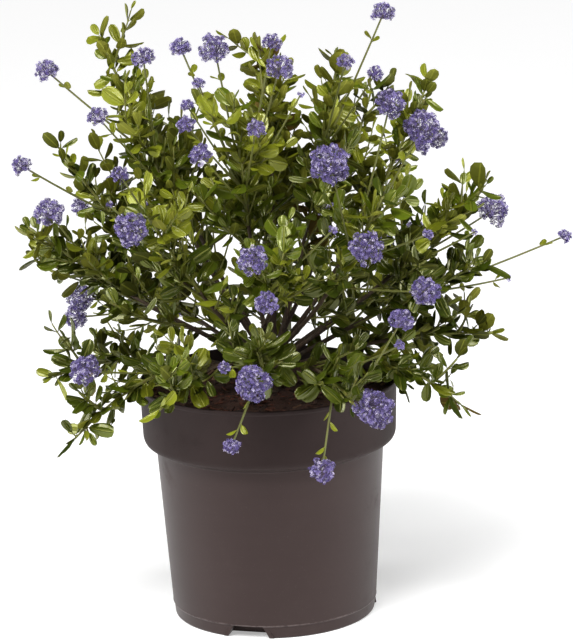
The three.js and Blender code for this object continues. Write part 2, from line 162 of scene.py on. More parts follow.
class Paint:
    # one material, and the nodes behind its shader
    def __init__(self, name, **uniform):
        self.material = bpy.data.materials.new(name)
        self.material.use_nodes = True
        self.tree = self.material.node_tree
        self.shader = self.tree.nodes["Principled BSDF"]
        for key, value in uniform.items():
            self.shader.inputs[key.replace("_", " ")].default_value = value
        self.place = self.node("TexCoord", output="Object")

    def node(self, kind, settings=None, sockets=None, output=0):
        made = self.tree.nodes.new("ShaderNode" + kind)
        for key, value in (settings or {}).items():
            if key != "stops":
                setattr(made, key, value)
                continue
            stops = made.color_ramp.elements
            for i, (at, colour) in enumerate(value):
                stop = stops[i] if i < 2 else stops.new(at)
                stop.position, stop.color = at, (*colour, 1)
        for key, value in (sockets or {}).items():
            if isinstance(value, Wire):
                self.tree.links.new(value.socket, made.inputs[key])
            else:
                made.inputs[key].default_value = value
        return Wire(self, made.outputs[output])

    def noise(self, scale, detail=3, roughness=0.55, place=None):
        return self.node("TexNoise", {}, {"Vector": place or self.place, "Scale": scale,
                                          "Detail": detail, "Roughness": roughness})

    def streaks(self, scales, detail, roughness):
        # noise drawn out by a scale for each axis
        place = self.node("VectorMath", {"operation": "MULTIPLY"}, {0: self.place, 1: scales})
        return self.noise(1, detail, roughness, place)

    def ease(self, value, low, high):
        return self.node("MapRange", {"interpolation_type": "SMOOTHSTEP"},
                         {"Value": value, "From Min": low, "From Max": high})

    def mixed(self, share, first, second):
        colours = [c if isinstance(c, Wire) else (*c, 1) for c in (first, second)]
        return self.node("Mix", {"data_type": "RGBA"}, {0: share, 6: colours[0], 7: colours[1]}, 2)

    def tinted(self, share, colour, low, high):
        # from a darker to a lighter kind of one colour
        return self.mixed(share, scaled(colour, low), scaled(colour, high))

    def varied(self, share, first, second):
        # each leaf or floret turns to the second colour by an amount of its own
        return self.mixed(self.node("NewGeometry", output="Random Per Island") * share, first, second)

    def bump(self, height, strength, distance):
        return self.node("Bump", {}, {"Height": height, "Strength": strength, "Distance": distance})

    def feed(self, **wires):
        for key, wire in wires.items():
            self.tree.links.new(wire.socket, self.shader.inputs[key.replace("_", " ")])
        return self.material


def scaled(colour, by):
    return tuple(part * by for part in colour)


def leafTopPaint(name, colour):
    gloss = 0.27 - 1.2 * colour[1]    # darker, older leaves are glossier
    paint = Paint(name, Coat_Roughness=0.12, Coat_Tint=(1, 1, 0.68, 1), Specular_IOR_Level=0.65,
                  Specular_Tint=(1, 1, 0.35, 1))
    mottle = paint.noise(700, 4)
    shade = paint.varied(1, paint.tinted(mottle, colour, 0.72, 1.25), scaled(colour, 1.35))
    return paint.feed(Base_Color=shade, Roughness=0.24 + 0.16 * mottle,
                      Coat_Weight=gloss + 0.3 * mottle,
                      Normal=paint.bump(paint.noise(2600, 2), 0.2, 0.0002))


def veinPaint(name, colour):
    paint = Paint(name, Specular_IOR_Level=0.35, Specular_Tint=(1, 1, 0.5, 1))
    mottle = paint.noise(1500, 2)
    return paint.feed(Base_Color=paint.tinted(mottle, colour, 0.8, 1.2), Roughness=0.35 + 0.2 * mottle)


def leafBackPaint(name, colour):
    paint = Paint(name, Specular_IOR_Level=0.25, Specular_Tint=(1, 1, 0.6, 1))
    mottle = paint.noise(900, 4)
    shade = paint.varied(0.6, paint.tinted(mottle, colour, 0.8, 1.15), scaled(colour, 1.3))
    return paint.feed(Base_Color=shade, Roughness=0.5 + 0.2 * mottle,
                      Normal=paint.bump(paint.noise(1900, 3), 0.35, 0.0003))


def stemPaint(name, colour, fleck, roughness):
    paint = Paint(name)
    streak = paint.streaks((900, 900, 260), 5, 0.6)
    spots = paint.ease(paint.noise(520, 3), 0.52, 0.7)
    shade = paint.mixed(spots, scaled(colour, 0.9), fleck)
    return paint.feed(Base_Color=paint.mixed(streak * 0.7, shade, scaled(colour, 1.3)),
                      Roughness=roughness + 0.2 * streak, Normal=paint.bump(streak, 0.4, 0.0003))


def barkPaint():
    paint = Paint("bark")
    ridges = paint.streaks((600, 600, 140), 6, 0.65)
    grey = paint.ease(paint.noise(160, 4), 0.45, 0.68)
    stops = [(0.3, (0.014, 0.008, 0.005)), (0.72, (0.1, 0.055, 0.028)), (0.52, (0.045, 0.024, 0.012))]
    shade = paint.node("ValToRGB", {"stops": stops}, {"Fac": ridges})
    return paint.feed(Base_Color=paint.mixed(grey * 0.4, shade, (0.1, 0.08, 0.055)),
                      Roughness=0.72 + 0.2 * ridges,
                      Normal=paint.bump(ridges + 0.5 * paint.noise(1500, 3), 0.7, 0.0008))


def petalPaint(name, colour, tip):
    paint = Paint(name, Sheen_Weight=0.15)
    mottle = paint.noise(1300, 3)
    shade = paint.mixed(mottle, scaled(colour, 0.8), tip)
    return paint.feed(Base_Color=paint.varied(0.55, shade, scaled(colour, 0.62)),
                      Roughness=0.5 + 0.2 * mottle, Normal=paint.bump(mottle, 0.2, 0.0002))


def potPaint():
    paint = Paint("pot_plastic", IOR=1.48, Specular_IOR_Level=0.34, Specular_Tint=(1, 0.76, 0.74, 1))
    cloud = paint.noise(11, 4, 0.6)
    drawn = paint.streaks((9, 9, 120), 4, 0.55)  # level marks of moulding
    speck = paint.ease(paint.noise(900, 2), 0.66, 0.74)
    dust = paint.ease(paint.noise(38, 6, 0.7), 0.5, 0.78)
    scuffedHighlight = paint.ease(paint.noise(150, 5, 0.7), 0.42, 0.6)
    height = paint.node("SeparateXYZ", {}, {0: paint.place}, 2)
    # the rim: painted shade in its colour, and a rougher finish
    rim = paint.ease(height, 0.128, 0.136)
    # painted shade: a dark band on the wall just under the rim
    under = paint.ease(height, 0.116, 0.1285) - paint.ease(height, 0.1286, 0.13)
    # painted highlight: a pale band along the moulded line near the foot
    ridge = paint.ease(height, 0.0088, 0.0094) - paint.ease(height, 0.01, 0.0108)
    shade = paint.mixed(cloud, (0.018, 0.0122, 0.0114), (0.027, 0.0186, 0.0174))
    for share, colour in ((drawn * 0.3, (0.039, 0.028, 0.026)),
                          (dust * 0.12, (0.08, 0.062, 0.058)),
                          (speck * 0.16, (0.12, 0.1, 0.095)),
                          (rim * 0.8, (0.009, 0.0055, 0.0052)),    # painted shade: the rim is painted darker than the wall
                          (under * 0.5, (0.011, 0.007, 0.0066)),    # painted shade: the wall just under the rim is darkened
                          (ridge * scuffedHighlight * 0.5, (0.16, 0.13, 0.125))):    # painted highlight along the moulded line, broken up by scuffs
        shade = paint.mixed(share, shade, colour)
    return paint.feed(Base_Color=shade, Roughness=0.36 + 0.12 * cloud + 0.2 * dust + 0.26 * rim,
                      Normal=paint.bump(paint.noise(1400, 3) + 0.6 * drawn, 0.12, 0.0003))


def compostPaint(name, dark, light, scale):
    paint = Paint(name)
    crumb = paint.noise(scale, 6, 0.7)
    fibre = paint.streaks((300, 1500, 900), 4, 0.6)
    shade = paint.mixed(paint.ease(crumb, 0.35, 0.68), dark, light)
    return paint.feed(Base_Color=paint.mixed(fibre * 0.4, shade, scaled(light, 1.4)),
                      Roughness=0.78 + 0.18 * crumb,
                      Normal=paint.bump(crumb + 0.5 * fibre, 0.8, 0.0012))


def floorPaint():
    paint = Paint("floor", Emission_Strength=floorSettings["glow"], Emission_Color=white)
    cloud = paint.noise(3, 3)
    return paint.feed(Base_Color=paint.tinted(cloud, floorSettings["colour"], 0.985, 1),
                      Roughness=floorSettings["roughness"] + 0.05 * cloud)


# Meshes

prismTurns = np.array([0, 2.094, 4.189])    # thin stalks are three-sided
prismFaces = [(0, 3, 4, 1), (1, 4, 5, 2), (2, 5, 3, 0)]
boxCorners = np.array([(x, y, z) for x in (-1, 1) for y in (-1, 1) for z in (-1, 1)], float)
boxFaces = [(0, 1, 3, 2), (4, 6, 7, 5), (0, 4, 5, 1), (2, 3, 7, 6), (0, 2, 6, 4), (1, 5, 7, 3)]


class Heap:
    # points and faces gathered for one joined piece
    def __init__(self):
        self.points, self.faces, self.finishes, self.total = [], [], [], 0

    def add(self, points, faces, finish=0):
        self.points.append(points)
        self.total += len(points)
        self.extend(faces, len(points), finish)

    def copies(self, points, faces, finish=0):
        # points has a row for each copy, and every copy has the same faces
        count, each = points.shape[:2]
        self.add(points.reshape(-1, 3), copied(faces, count, each), finish)

    def extend(self, faces, back, finish=0):
        # more faces on points that are there already, from back points before the end
        self.faces.append(np.asarray(faces) + self.total - back)
        self.finishes.append(np.full(len(faces), finish))


def copied(faces, count, each):
    # the same faces for a number of copies, with so many points each
    shifts = (np.arange(count) * each)[:, None, None]
    return (np.asarray(faces)[None] + shifts).reshape(count * len(faces), -1)


def makePiece(name, heap, materials, nodes=(), crease=None):
    mesh = bpy.data.meshes.new(name)
    points = np.concatenate(heap.points) * 0.001
    loops = np.concatenate([faces.ravel() for faces in heap.faces])
    sizes = np.concatenate([np.full(len(faces), faces.shape[1]) for faces in heap.faces])
    mesh.vertices.add(len(points))
    mesh.vertices.foreach_set("co", points.ravel())
    mesh.loops.add(len(loops))
    mesh.loops.foreach_set("vertex_index", loops)
    mesh.polygons.add(len(sizes))
    mesh.polygons.foreach_set("loop_start", np.concatenate([[0], np.cumsum(sizes)[:-1]]))
    mesh.polygons.foreach_set("material_index", np.concatenate(heap.finishes))
    mesh.update(calc_edges=True)
    mesh.validate()
    if crease:
        mesh.set_sharp_from_angle(angle=math.radians(crease))
    for material in materials:
        mesh.materials.append(material)
    made = linked(name, mesh)
    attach(made, "root")
    if nodes:
        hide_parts(*nodes)
    print(f"  {name}: {int((sizes - 2).sum())} triangles")
    return made


def waves(points, size, seed, count=9):
    # a smooth wandering number for each point, about -1 to 1, from sines in seeded directions
    draw = np.random.RandomState(seed)
    total = np.zeros(len(points))
    for part in range(count):
        way = unit(draw.normal(size=3)) * (2 * math.pi / size) * (0.6 + 0.9 * part / count)
        total += np.sin(points @ way + draw.uniform(0, 6.3))
    return total / math.sqrt(count)


# Curves: three points of a quadratic curve, each in an upright plane

def seededRandom(seed):
    state = [seed]

    def draw():
        state[0] = (state[0] + 0x6d2b79f5) & 0xffffffff
        mixed = ((state[0] ^ (state[0] >> 15)) * (1 | state[0])) & 0xffffffff
        mixed = (mixed + (mixed ^ (mixed >> 7)) * (61 | mixed)) & 0xffffffff ^ mixed
        return ((mixed ^ (mixed >> 14)) & 0xffffffff) / 4294967296
    return draw


def pointAt(curve, share):
    s = np.asarray(share, float)[..., None]
    return (1 - s) ** 2 * curve[0] + 2 * s * (1 - s) * curve[1] + s ** 2 * curve[2]


def tangentAt(curve, share):
    s = np.asarray(share, float)[..., None]
    return 2 * (1 - s) * (curve[1] - curve[0]) + 2 * s * (curve[2] - curve[1])


def atBearing(bearing, radius, height):
    angle = math.radians(bearing)
    return np.array([radius * math.cos(angle), radius * math.sin(angle), height])


def bowed(start, end, lift):
    return np.array([start, (start + end) / 2 + up * lift, end])


def partOf(curve, first, last):
    start, end = pointAt(curve, first), pointAt(curve, last)
    return np.array([start, start + tangentAt(curve, first) * (last - first) / 2, end])


def chordOf(curve):
    return float(np.linalg.norm(curve[2] - curve[0]))


def frameAt(curve, share):
    chord = curve[2] - curve[0]
    side = np.array([-chord[1], chord[0], 0])
    side = unit(side) if side @ side > 1e-6 else np.array([0.0, 1.0, 0.0])
    ahead = unit(tangentAt(curve, share))
    return ahead, side, np.cross(side, ahead)


def evenly(curve, steps):
    return pointAt(curve, np.linspace(0, 1, steps + 1))


def loftFaces(rows, sides):
    # four-cornered faces between rings of points that follow one another
    row, column = np.meshgrid(np.arange(rows - 1), np.arange(sides), indexing="ij")
    low, after = row * sides + column, row * sides + (column + 1) % sides
    return np.stack([low, low + sides, after + sides, after], -1).reshape(-1, 4)


def addTube(heap, curve, radii, shares, sides, relief=None):
    # a tapering tube along a curve, closed at both ends
    shares = np.asarray(shares, float)
    _, side, under = frameAt(curve, shares)
    turns = np.linspace(0, 2 * math.pi, sides, endpoint=False)
    ring = under[:, None] * np.cos(turns)[None, :, None] + side * np.sin(turns)[None, :, None]
    reach = np.asarray(radii, float)[:, None] * np.ones(sides)
    centres = pointAt(curve, shares)[:, None]
    if relief:
        reach = reach * relief((centres + ring * reach[..., None]).reshape(-1, 3), turns, shares)
    points = (centres + ring * reach[..., None]).reshape(-1, 3)
    heap.add(points, loftFaces(len(shares), sides))
    around = np.arange(sides)[None]
    heap.extend(around, len(points))
    heap.extend(around[:, ::-1], sides)


def roundRings(radii, heights, spokes):
    turns = np.linspace(0, 2 * math.pi, spokes, endpoint=False)
    radii, heights = (np.asarray(sizes, float)[:, None] for sizes in (radii, heights))
    return np.stack([radii * np.cos(turns), radii * np.sin(turns), heights + 0 * turns], -1)


def addTurned(heap, rings, ends):
    # rings from the middle of the top outwards and down, with a middle point at both ends
    rows, spokes = rings.shape[:2]
    points = np.concatenate([rings.reshape(-1, 3), [(0, 0, height) for height in ends]])
    heap.add(points, loftFaces(rows, spokes))
    middle, first = rows * spokes, np.arange(spokes)
    last = first + middle - spokes
    for centre, near, far in ((middle, first, np.roll(first, -1)),
                              (middle + 1, np.roll(last, -1), last)):
        heap.extend(np.stack([np.full(spokes, centre), near, far], 1), len(points))


# The limbs and masses: bearing, reach and height of each mass's tip, how far its limb bows up, the
# share that is bare bough, and how far along its carrier it springs

trunk = {"foot": 167.3, "height": 31, "lean": (3, -2), "footRadius": 9.5, "waist": 6.6, "top": 5.9,
         "flare": 0.35, "forkShare": 0.9, "forkSpread": 3.5}
limb = {"foot": 2, "offshootFoot": 1.7, "tip": 0.75, "clear": 0.3, "woodyEnd": 0.42, "overlap": 0.02}
masses = {
    "top_left": (180, 112, 434, -40, 0.32, 1),
    "top_centre": (40, 12, 420, 0, 0.36, 1),
    "top_right": (8, 58, 410, -30, 0.34, 1),
    "top_back": (84, 76, 396, -36, 0.32, 1),
    "top_front": (257, 80, 396, -34, 0.34, 1),
    "upper_right": (12, 126, 388, -40, 0.3, 0.82),
    "upper_back_right": (48, 126, 372, -34, 0.3, 0.9),
    "upper_back": (88, 140, 330, -18, 0.32, 0.5),
    "upper_back_left": (136, 128, 382, -34, 0.3, 0.86),
    "upper_left": (173, 148, 350, -34, 0.3, 0.5),
    "upper_front_left": (232, 128, 322, -26, 0.32, 0.8),
    "upper_front": (276, 130, 300, -12, 0.34, 0.5),
    "upper_front_right": (312, 126, 330, -26, 0.32, 0.85),
    "side_right": (350, 164, 326, -20, 0.28, 0.6),
    "side_left": (184, 170, 298, -16, 0.28, 0.68),
    "far_right": (352, 158, 262, 6, 0.27, 0.42),
    "far_left": (174, 166, 268, 8, 0.27, 0.5),
    "low_right": (6, 166, 200, 20, 0.27, 0.34),
    "low_back_right": (44, 164, 218, 18, 0.27, 0.55),
    "low_back": (86, 164, 200, 26, 0.27, 0.45),
    "low_back_left": (132, 164, 222, 18, 0.27, 0.38),
    "low_left": (190, 158, 190, 30, 0.27, 0.3),
    "low_front_left": (236, 138, 186, 34, 0.27, 0.5),
    "low_front_right": (298, 140, 180, 36, 0.27, 0.45),
    "low_front": (268, 130, 214, 18, 0.28, 0.62),
    "droop_right": (342, 146, 164, 54, 0.26, 0.26),
    "droop_left": (206, 156, 154, 58, 0.26, 0.26),
}
# the trunk carries all the others
carriers = {"upper_back": "top_back", "upper_left": "top_left", "upper_front": "top_front"}
names = list(masses)
bare = {name: numbers[4] for name, numbers in masses.items()}
trunkFoot = up * trunk["foot"]
trunkCurve = np.array([trunkFoot, trunkFoot + up * trunk["height"] / 2,
                       trunkFoot + np.array([*trunk["lean"], trunk["height"]])])


def limbCurves():
    made = {}
    for name, (bearing, reach, height, lift, _, share) in masses.items():
        if name in carriers:
            start = pointAt(made[carriers[name]], share * bare[carriers[name]])
        elif share == 1:
            start = pointAt(trunkCurve, trunk["forkShare"]) + atBearing(bearing, trunk["forkSpread"], 0)
        else:
            start = pointAt(trunkCurve, share)
        made[name] = bowed(start, atBearing(bearing, reach, height), lift)
    return made


limbs = limbCurves()
stems = {name: partOf(curve, bare[name] + limb["clear"] / chordOf(curve), 1)
         for name, curve in limbs.items()}
limbFeet = np.array([limb["offshootFoot"] if name in carriers else limb["foot"] for name in names])


def limbRadius(number, share):
    return limbFeet[number] + (limb["tip"] - limbFeet[number]) * np.asarray(share)


# Each mass keeps to the space that is nearer its own stem than any other's

space = {"margin": 0.9, "fineMargin": -7, "limbGap": 0.5, "rimTop": 97.5, "rimHeight": 179.5,
         "headShare": 0.47, "stemParts": 7, "boughParts": 3}


def segments(curves, parts):
    lines = np.array([evenly(curve, parts) for curve in curves])
    return lines[:, :-1], lines[:, 1:] - lines[:, :-1]


stemSegments = segments(stems.values(), space["stemParts"])
boughSegments = segments([partOf(limbs[name], 0, bare[name]) for name in names], space["boughParts"])


def distances(points, starts, alongs):
    away = points[:, None, None] - starts[None]
    share = np.clip((away * alongs).sum(-1) / (alongs ** 2).sum(-1), 0, 1)
    return np.sqrt(((away - share[..., None] * alongs) ** 2).sum(-1).min(-1))


def inSpace(number, points, margin):
    high = points[:, 2] > space["rimHeight"]
    if not (high | (np.hypot(points[:, 0], points[:, 1]) > space["rimTop"])).all():
        return False
    away = distances(points, *stemSegments)
    own = away[:, number].copy()
    away[:, number] = np.inf
    if not (away.min(1) > own + margin).all():
        return False
    return (distances(points, *boughSegments) > limbFeet + space["limbGap"]).all()


# Blossom heads: across, height and diameter of the front ones, which stand on the crown's front

crown = {"radius": 165, "middle": 250, "halfHeight": 210, "frontShare": 0.88}
frontBlooms = [
    (-152, 410, 19), (-173, 341, 17), (-81, 424, 18), (-114, 384, 18), (-99, 352, 14),
    (-54, 433, 18), (-30, 434, 24), (10, 437, 16), (15, 422, 22), (61, 421, 14), (91, 444, 19),
    (82, 411, 13), (92, 392, 24), (114, 372, 29), (-51, 387, 16), (-42, 369, 18), (-3, 385, 16),
    (48, 360, 31), (-92, 316, 28), (-153, 313, 25), (-8, 299, 24), (71, 301, 27), (1, 269, 19),
    (112, 264, 24), (94, 246, 22), (167, 297, 28), (219, 276, 12), (-130, 209, 24), (-11, 212, 29),
    (74, 184, 31), (-27, 163, 14), (36, 140, 20),
]
smallBlooms = [
    (-42, 413, 11), (-30, 223, 11), (115, 303, 10), (177, 246, 7), (48, 316, 8), (151, 293, 6),
    (93, 229, 9), (-50, 399, 12), (-107, 331, 7), (29, 405, 7),
]
rearBlooms = {"count": 14, "foot": 190, "rise": 165, "bearing": 90, "spread": 62, "size": 22,
              "smallest": 0.7, "vary": 0.5, "seed": 77}
stalk = {"sag": -2, "reachBack": 16, "parts": 40, "foot": 0.9, "tip": 0.65, "rings": 7, "sides": 6}


def crownRadius(height):
    return crown["radius"] * math.sqrt(1 - ((height - crown["middle"]) / crown["halfHeight"]) ** 2)


def onCrown(across, height, size):
    squared = crownRadius(height) ** 2 - across ** 2
    return np.array([across, -crown["frontShare"] * math.sqrt(max(0, squared)), height]), size


def allBlooms():
    made, rear = [onCrown(*bloom) for bloom in frontBlooms], rearBlooms
    random = seededRandom(rear["seed"])
    golden = math.pi * (3 - math.sqrt(5))
    for i in range(rear["count"]):
        height = rear["foot"] + ((i + 0.5) / rear["count"]) * rear["rise"]
        bearing = rear["bearing"] + rear["spread"] * math.sin(i * golden * 3 + random())
        size = rear["size"] * (rear["smallest"] + rear["vary"] * random())
        made.append((atBearing(bearing, crownRadius(height), height), size))
    return made + [onCrown(*bloom) for bloom in smallBlooms]


heads = allBlooms()
headCentres = np.array([centre for centre, _ in heads])
headSizes = np.array([size for _, size in heads])
headMasses = distances(headCentres, *stemSegments).argmin(1)


def clearOfHeads(points):
    away = np.linalg.norm(points[:, None] - headCentres[None], axis=-1)
    return (away > headSizes * space["headShare"]).all()


def stalkCurve(number, centre):
    line = evenly(stems[names[number]], stalk["parts"])
    nearest = int(np.linalg.norm(line - centre, axis=1).argmin())
    for back in range(stalk["reachBack"], 0, -2):
        curve = bowed(line[max(1, nearest - back)], centre, stalk["sag"])
        if inSpace(number, evenly(curve, 6)[2:], space["margin"]):
            return curve
    return bowed(line[max(1, nearest)], centre, stalk["sag"])


stalkCurves = [stalkCurve(number, centre) for (centre, _), number in zip(heads, headMasses)]


# Twigs spring from the faces of a stem in turn and lean out; a longer one is tried first

twigRules = {
    "main": {"spacing": 31, "first": 0.4, "length": 72, "tipShare": 0.15, "vary": 0.5, "lean": 52,
             "lift": 0.3, "stray": 30, "scatter": None, "cuts": (1, 0.75, 0.55), "turnFaces": 2,
             "seed": 101, "radii": (1.15, 0.75)},
    "side": {"spacing": 7.8, "first": 0.75, "length": 56, "tipShare": 0.05, "vary": 0.8, "lean": 48,
             "lift": 0.35, "stray": 90, "scatter": 36, "cuts": (1, 0.7, 0.45), "turnFaces": 1.15,
             "seed": 301, "radii": (0.85, 0.55)},
    "fine": {"spacing": 16, "first": 0.6, "length": 29, "tipShare": 0.7, "vary": 0.6, "lean": 44,
             "lift": 0.25, "stray": 60, "scatter": 36, "cuts": (1, 0.7), "turnFaces": 1.15,
             "radii": (0.7, 0.5)},
    "low": {"spacing": 12, "first": 0.8, "length": 52, "tipShare": 0.8, "vary": 0.6, "lean": 58,
            "lift": 0.3, "stray": 120, "scatter": None, "cuts": (1, 0.75, 0.5), "turnFaces": 1.15,
            "seed": 501, "from": 0.25},
}


def leaningOut(curve, share, around, lean, lift):
    ahead, side, under = frameAt(curve, share)
    around, angle = math.radians(around), math.radians(lean)
    out = side * math.sin(around) + under * math.cos(around)
    return unit(ahead * math.cos(angle) + out * math.sin(angle) + up * lift)


def twigsFrom(number, stem, rule, margin, random=None):
    found, count = [], int(chordOf(stem) / rule["spacing"])
    random = random or seededRandom(rule["seed"] + number)
    for i in range(count):
        share = (i + rule["first"]) / count
        around = 60 + 120 * rule["turnFaces"] * i + (random() - 0.5) * rule["stray"]
        lean = rule["lean"] + (rule["scatter"] * (random() - 0.5) if rule["scatter"] else 0)
        direction = leaningOut(stem, share, around, lean, rule["lift"])
        length = rule["length"] * (1 - (1 - rule["tipShare"]) * share)
        length *= 1 + rule["vary"] * (random() - 0.5)
        start = pointAt(stem, share)
        for cut in rule["cuts"]:
            middle = start + direction * length * cut * 0.45
            end = start + direction * length * cut * 0.9 + up * length * cut * 0.2
            tried = evenly(bowed(start, end, 0), 4)[1:]
            if inSpace(number, tried, margin) and clearOfHeads(tried):
                found.append(np.array([start, middle, end]))
                break
    return found


# Leaves stand in pairs along a twig, each pair across the one before, with a single leaf at the tip

leaf = {"length": 17.5, "width": 10.2, "spacing": 9, "smallest": 0.72, "vary": 0.58, "tipShare": 0.5,
        "lean": 66, "tipLean": 10, "scatter": 40, "lift": 0.18, "stray": 44, "turn": 1.7, "apart": 3.8,
        "stemFrom": 0.4, "twigFrom": 0.16, "last": 0.985, "petiole": 2, "seed": 601, "sizes": (1, 0.78),
        "spots": (0.3, 0.6, 0.8, 1)}
sprays = {  # each spray takes one colour: the upper side, the underside, and its weights low and high
    "deep": ((0.021, 0.033, 0.002), (0.045, 0.05, 0.005), 4.4, 0.1),
    "moss": ((0.036, 0.051, 0.003), (0.06, 0.066, 0.006), 4.2, 0.8),
    "green": ((0.057, 0.08, 0.004), (0.085, 0.093, 0.008), 3, 3.4),
    "olive": ((0.106, 0.119, 0.007), (0.143, 0.144, 0.014), 1.5, 5.2),
    "fresh": ((0.16, 0.18, 0.012), (0.196, 0.204, 0.024), 0.7, 3.6),
    "bronze": ((0.07, 0.045, 0.006), (0.095, 0.06, 0.01), 0.25, 0.4),
}
bract = {"low": 225, "lowShares": (0.3, 0.42, 0.72, 0.8), "high": 330, "far": 175,
         "highShares": (0.55, 0.88, 0.9), "length": 8, "lean": 48}
sprayNames = list(sprays)
leaves = {name: [] for name in sprayNames}
stemHeap = {"woody": Heap(), "shoot": Heap()}
reachLow, reachHigh = (np.array(corner) * 1000 + grow for corner, grow in zip(cadBox, (-3, 3)))
opening = {"low": 198, "high": 296, "radius": 92, "share": 0.62}   # thin growth near the stems' feet
tall = {"from": 282, "over": 82}    # where the weights of the sprays pass from low to high


def spraysColour(random, height):
    share = min(max((height - tall["from"]) / tall["over"], 0), 1)
    weights = [low + (high - low) * share for _, _, low, high in sprays.values()]
    pick = random() * sum(weights)
    for name, weight in zip(sprayNames, weights):
        pick -= weight
        if pick <= 0:
            return name
    return sprayNames[-1]


def leavesOn(number, curve, first, random, taken, colour):
    count = max(1, round(chordOf(curve) * (1 - first) / leaf["spacing"]))
    turned, placed = random() * 360, 0
    for i in range(2 * count + 1):
        atTip = i == 2 * count
        share = leaf["last"] if atTip else first + (1 - first) * (i // 2 / count) ** 0.85
        ageing = 1 - (1 - leaf["tipShare"]) * share ** 2
        length = leaf["length"] * (leaf["smallest"] + leaf["vary"] * random()) * ageing
        around = turned + 90 * (i // 2) + 180 * (i % 2) + (random() - 0.5) * leaf["stray"]
        turn = (random() - 0.5) * leaf["turn"]
        narrow, bend, cup, thin = random(), random(), random(), random()
        lean = leaf["tipLean"]
        if not atTip:
            lean = leaf["lean"] * (1 - 0.4 * share) + leaf["scatter"] * (random() - 0.5)
        root = pointAt(curve, share)
        radius = math.hypot(root[0], root[1])
        outward = root * (1, 1, 0) / (40 + radius)
        inner = opening["low"] < root[2] < opening["high"] and radius < opening["radius"]
        if inner and thin < opening["share"]:
            continue
        for cut in leaf["sizes"]:
            ahead = leaningOut(curve, share, around, lean, leaf["lift"])
            side = unit(np.cross(up + outward, ahead))
            side = side * math.cos(turn) + np.cross(ahead, side) * math.sin(turn)
            along = leaf["petiole"] + length * cut * np.array(leaf["spots"])
            spots = root + ahead * along[:, None]
            half = side * leaf["width"] * length * cut / leaf["length"] / 2
            edges = np.concatenate([spots, spots[1:3] + half, spots[1:3] - half])
            if (clearOfLeaves(spots[1:], taken, leaf["apart"] * cut) and inReach(edges)
                    and inSpace(number, edges, space["fineMargin"]) and clearOfHeads(edges)):
                taken.extend(spots[1:])
                leaves[colour].append((root, ahead, side, length * cut, 0.8 + 0.4 * narrow, bend, cup))
                placed += 1
                break
    return placed


def clearOfLeaves(spots, taken, apart):
    return not taken or np.linalg.norm(np.array(taken)[None] - spots[:, None], axis=-1).min() > apart


def inReach(points):
    return (points > reachLow).all() and (points < reachHigh).all()


def addStem(kind, curve, foot, tip, sides, collar=0.35):
    shares = np.array([0, 0.06, 0.25, 0.5, 0.75, 1])
    radii = foot + (tip - foot) * shares
    radii[0] *= 1 + collar
    addTube(stemHeap[kind], curve, radii, shares, sides)


def leafyTwigs(number, curves, rule, random, taken, colour=None):
    # a twig with hardly room for its leaves is left out, and they with it
    for curve in curves:
        own = colour or spraysColour(random, curve[2][2])
        placed = leavesOn(number, curve, leaf["twigFrom"], random, taken, own)
        if placed > 2:
            addStem("shoot", curve, *rule["radii"], 5)
        elif placed:
            del leaves[own][-placed:], taken[-3 * placed:]


def growMass(number):
    name, (main, sideways, fine, low) = names[number], twigRules.values()
    stem, share, fineMargin = stems[name], bare[name], space["fineMargin"]
    foot, tip = limbRadius(number, share) + 0.1, limb["tip"]
    middle = foot + (tip - foot) * limb["woodyEnd"]
    addStem("woody", partOf(stem, 0, limb["woodyEnd"]), foot, middle, 8, 0)
    addStem("shoot", partOf(stem, limb["woodyEnd"] - limb["overlap"], 1), middle, tip, 8, 0)
    taken, random = [], seededRandom(leaf["seed"] + number)
    grown = twigsFrom(number, stem, main, space["margin"])
    for curve in grown:
        colour = spraysColour(random, curve[2][2])
        addStem("shoot", curve, *main["radii"], 6)
        leavesOn(number, curve, leaf["twigFrom"], random, taken, colour)
        finer = twigsFrom(number, curve, fine, fineMargin, random)
        leafyTwigs(number, finer, fine, random, taken, colour)
    lowest = partOf(limbs[name], low["from"] * share, share)
    side = twigsFrom(number, stem, sideways, fineMargin) + twigsFrom(number, lowest, low, fineMargin)
    leafyTwigs(number, side, sideways, random, taken)
    leavesOn(number, stem, leaf["stemFrom"], random, taken, spraysColour(random, stem[2][2]))
    return len(grown), len(side)


def stalkLeaves():
    # the low, the high and the farthest heads have small leaves part of the way up their stalks
    for number, ((centre, size), curve) in enumerate(zip(heads, stalkCurves)):
        low, high = centre[2] < bract["low"], centre[2] > bract["high"] or abs(centre[0]) > bract["far"]
        for i, share in enumerate(bract["lowShares"] if low else bract["highShares"] if high else ()):
            share -= high * size / 2 / chordOf(curve)
            ahead = leaningOut(curve, share, goldenTurn * (i + number), bract["lean"], 0)
            side = unit(np.cross(up + ahead, ahead))
            leaves["fresh"].append((pointAt(curve, share), ahead, side, bract["length"], 1.1, 0.5, 0.5))


grownCounts = [growMass(number) for number in range(len(names))]
stalkLeaves()
mainCount, sideCount = (sum(counts) for counts in zip(*grownCounts))
print("grown:", mainCount, "main twigs,", sideCount, "side twigs,",
      sum(len(found) for found in leaves.values()), "leaves")


# A leaf: an obovate blade with three sunken veins above, and a folded pale underside

blade = {"rows": (0.07, 0.26, 0.5, 0.74, 0.92),
         "columns": (-1, -0.72, -0.45, -0.22, -0.07, 0.07, 0.22, 0.45, 0.72, 1),
         "groove": 1.1, "sideGroove": 0.95, "sideVein": 0.45, "thickness": 0.45, "droop": 0.3,
         "roll": 0.45, "fold": 0.5, "rib": 0.1, "petioleRadii": (0.42, 0.3)}


def bladeOutline(share):
    return share ** 0.6 * (1 - share) ** 0.4 / 0.51


